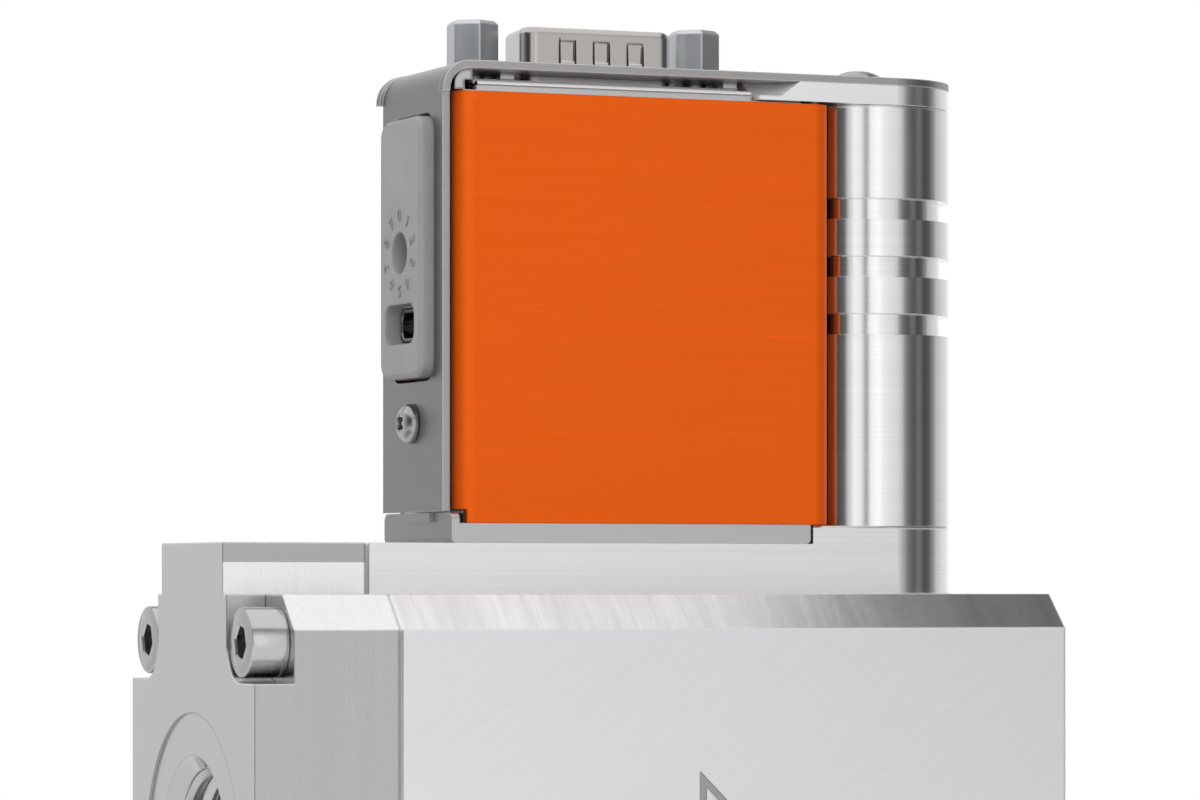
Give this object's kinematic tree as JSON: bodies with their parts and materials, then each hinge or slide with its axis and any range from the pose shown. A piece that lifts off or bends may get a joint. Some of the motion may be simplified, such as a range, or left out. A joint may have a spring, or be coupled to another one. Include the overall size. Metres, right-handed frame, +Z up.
{
  "type": "mass flow controller",
  "caption": "Compact gas mass flow controller: milled fluid block with threaded ports, electronics head with D-sub plug, grooved valve housing.",
  "frame": {"origin": "centre of the fluid block's bottom face, under the middle of its length", "axes": "+X from the inlet to the outlet, -Y towards the side with the flow arrow, +Z up through the head"},
  "size_m": [0.0894, 0.039, 0.1132],
  "materials": {
    "body_aluminium": "satin milled and brushed aluminium, fine edge breaks",
    "screw_steel": "bright stainless steel screws",
    "seal_rubber": "black elastomer seals",
    "filter_mesh": "fine woven stainless mesh",
    "turned_steel": "fine turned stainless steel",
    "polished_steel": "bright turned and polished stainless steel",
    "sheet_steel": "satin stainless sheet",
    "orange_anodised": "orange anodised aluminium with a fine horizontal grain",
    "grey_plastic": "moulded grey plastic with a fine grain",
    "black_plastic": "black moulded plastic",
    "dial_plastic": "dark moulded dial",
    "coil_resin": "moulded coil resin",
    "circuit_board": "green solder mask",
    "sensor_ceramic": "white ceramic package",
    "nickel_plate": "bright nickel plate",
    "gold_pins": "gold plated contacts"
  },
  "bodies": {
    "controller": {"adapter_screws": "screw_steel", "adapter_seal": "seal_rubber", "back_cover": "orange_anodised", "base_tray": "sheet_steel", "board_chips": "black_plastic", "cap_screw": "screw_steel", "chassis": "sheet_steel", "coil_cap": "polished_steel", "coil_housing": "polished_steel", "coil_plug": "black_plastic", "connector_board": "circuit_board", "dsub_insulator": "black_plastic", "dsub_pins": "gold_pins", "dsub_shell": "nickel_plate", "dsub_spacers": "nickel_plate", "flow_element": "turned_steel", "flux_plate": "turned_steel", "front_cover": "orange_anodised", "inlet_adapter": "body_aluminium", "inlet_filter": "filter_mesh", "interface_board": "circuit_board", "jackscrew_nuts": "nickel_plate", "jackscrews": "nickel_plate", "main_board": "circuit_board", "main_body": "body_aluminium", "plunger_spring": "turned_steel", "pole_piece": "turned_steel", "sensor_board": "circuit_board", "sensor_chip": "sensor_ceramic", "sensor_header": "gold_pins", "sensor_seal": "seal_rubber", "side_panel": "grey_plastic", "side_screw": "screw_steel", "sleeve_seal": "seal_rubber", "switch_body": "black_plastic", "top_strip": "sheet_steel", "tray_screws": "screw_steel", "usb_shell": "nickel_plate", "usb_tongue": "black_plastic", "valve_coil": "coil_resin", "valve_orifice": "turned_steel", "valve_sleeve": "turned_steel"},
    "plunger": {"valve_plunger": "turned_steel", "seat_disc": "seal_rubber"},
    "dial": {"address_dial": "dial_plastic"}
  },
  "joints": [
    {"name": "plunger_lift", "type": "slide", "parent": "controller", "child": "plunger", "axis": [0, 0, 1], "range_m": [0, 0.0005], "stiffness_N_per_m": 400, "springref_m": -0.002, "deforming": ["plunger_spring"]},
    {"name": "dial_turn", "type": "hinge", "parent": "controller", "child": "dial", "pos_m": [-0.01857, 0, 0.089], "axis": [1, 0, 0], "continuous": true}
  ]
}
